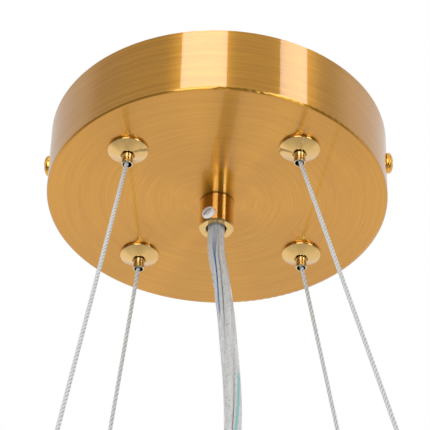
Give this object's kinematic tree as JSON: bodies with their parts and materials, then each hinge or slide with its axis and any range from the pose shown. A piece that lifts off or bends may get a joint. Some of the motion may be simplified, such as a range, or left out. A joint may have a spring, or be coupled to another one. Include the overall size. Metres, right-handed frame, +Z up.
{
  "type": "chandelier ceiling canopy",
  "caption": "Round satin brass ceiling canopy of a wire-hung chandelier, with push-release wire grippers, taut steel wires, a cord grip with a nylon screw and a clear supply cord.",
  "frame": {"origin": "centre of the ceiling plane, which the bracket and the cup's rim touch", "axes": "+Z up into the ceiling, +X along the two side screws, -Y towards the front"},
  "size_m": [0.135, 0.1617, 0.2163],
  "materials": {
    "satin_brass": "brushed satin",
    "polished_brass": "polished",
    "zinc_steel": "zinc plated",
    "steel_wire": "bright strand",
    "clear_nylon": "moulded nylon",
    "clear_pvc": "clear sheath over bright braid",
    "brown_core": "insulation",
    "blue_core": "insulation",
    "green_yellow_core": "striped insulation",
    "white_plastic": "moulded",
    "terminal_brass": "turned"
  },
  "bodies": {
    "canopy": {"canopy_cup": "satin_brass", "ceiling_bracket": "zinc_steel", "side_screw_left": "polished_brass", "side_screw_right": "polished_brass", "gripper_washers": "zinc_steel", "cord_grip_body": "polished_brass", "cord_grip_screw": "clear_nylon", "cord_nipple": "zinc_steel", "nipple_washer": "zinc_steel", "nipple_locknut": "zinc_steel", "supply_cord": "clear_pvc", "cord_in_grip": "clear_pvc", "live_core": "brown_core", "neutral_core": "blue_core", "earth_core": "green_yellow_core", "terminal_housing": "white_plastic", "terminal_sleeves": "terminal_brass", "terminal_screws": "zinc_steel", "terminal_fixing_screw": "zinc_steel", "earth_lug": "zinc_steel", "earth_washer": "zinc_steel", "earth_screw": "zinc_steel", "lamp_connector_body": "white_plastic", "lamp_connector_contacts": "terminal_brass", "front_left_gripper_body": "polished_brass", "front_left_gripper_nut": "zinc_steel", "front_left_gripper_cap": "polished_brass", "front_left_gripper_spring": "steel_wire", "front_left_wire_in_gripper": "steel_wire", "front_left_suspension_wire": "steel_wire", "front_left_wire_anchor": "polished_brass", "front_right_gripper_body": "polished_brass", "front_right_gripper_nut": "zinc_steel", "front_right_gripper_cap": "polished_brass", "front_right_gripper_spring": "steel_wire", "front_right_wire_in_gripper": "steel_wire", "front_right_suspension_wire": "steel_wire", "front_right_wire_anchor": "polished_brass", "rear_left_gripper_body": "polished_brass", "rear_left_gripper_nut": "zinc_steel", "rear_left_gripper_cap": "polished_brass", "rear_left_gripper_spring": "steel_wire", "rear_left_wire_in_gripper": "steel_wire", "rear_left_suspension_wire": "steel_wire", "rear_left_wire_anchor": "polished_brass", "rear_right_gripper_body": "polished_brass", "rear_right_gripper_nut": "zinc_steel", "rear_right_gripper_cap": "polished_brass", "rear_right_gripper_spring": "steel_wire", "rear_right_wire_in_gripper": "steel_wire", "rear_right_suspension_wire": "steel_wire", "rear_right_wire_anchor": "polished_brass"},
    "front_left_release": {"front_left_gripper_plunger": "polished_brass", "front_left_gripper_balls": "steel_wire"},
    "front_right_release": {"front_right_gripper_plunger": "polished_brass", "front_right_gripper_balls": "steel_wire"},
    "rear_left_release": {"rear_left_gripper_plunger": "polished_brass", "rear_left_gripper_balls": "steel_wire"},
    "rear_right_release": {"rear_right_gripper_plunger": "polished_brass", "rear_right_gripper_balls": "steel_wire"}
  },
  "joints": [
    {"name": "front_left_release_slide", "type": "slide", "parent": "canopy", "child": "front_left_release", "axis": [0, 0, 1], "range_m": [0, 0.002], "stiffness_N_per_m": 400, "springref_m": -0.002, "deforming": ["front_left_gripper_spring"]},
    {"name": "front_right_release_slide", "type": "slide", "parent": "canopy", "child": "front_right_release", "axis": [0, 0, 1], "range_m": [0, 0.002], "stiffness_N_per_m": 400, "springref_m": -0.002, "deforming": ["front_right_gripper_spring"]},
    {"name": "rear_left_release_slide", "type": "slide", "parent": "canopy", "child": "rear_left_release", "axis": [0, 0, 1], "range_m": [0, 0.002], "stiffness_N_per_m": 400, "springref_m": -0.002, "deforming": ["rear_left_gripper_spring"]},
    {"name": "rear_right_release_slide", "type": "slide", "parent": "canopy", "child": "rear_right_release", "axis": [0, 0, 1], "range_m": [0, 0.002], "stiffness_N_per_m": 400, "springref_m": -0.002, "deforming": ["rear_right_gripper_spring"]}
  ]
}
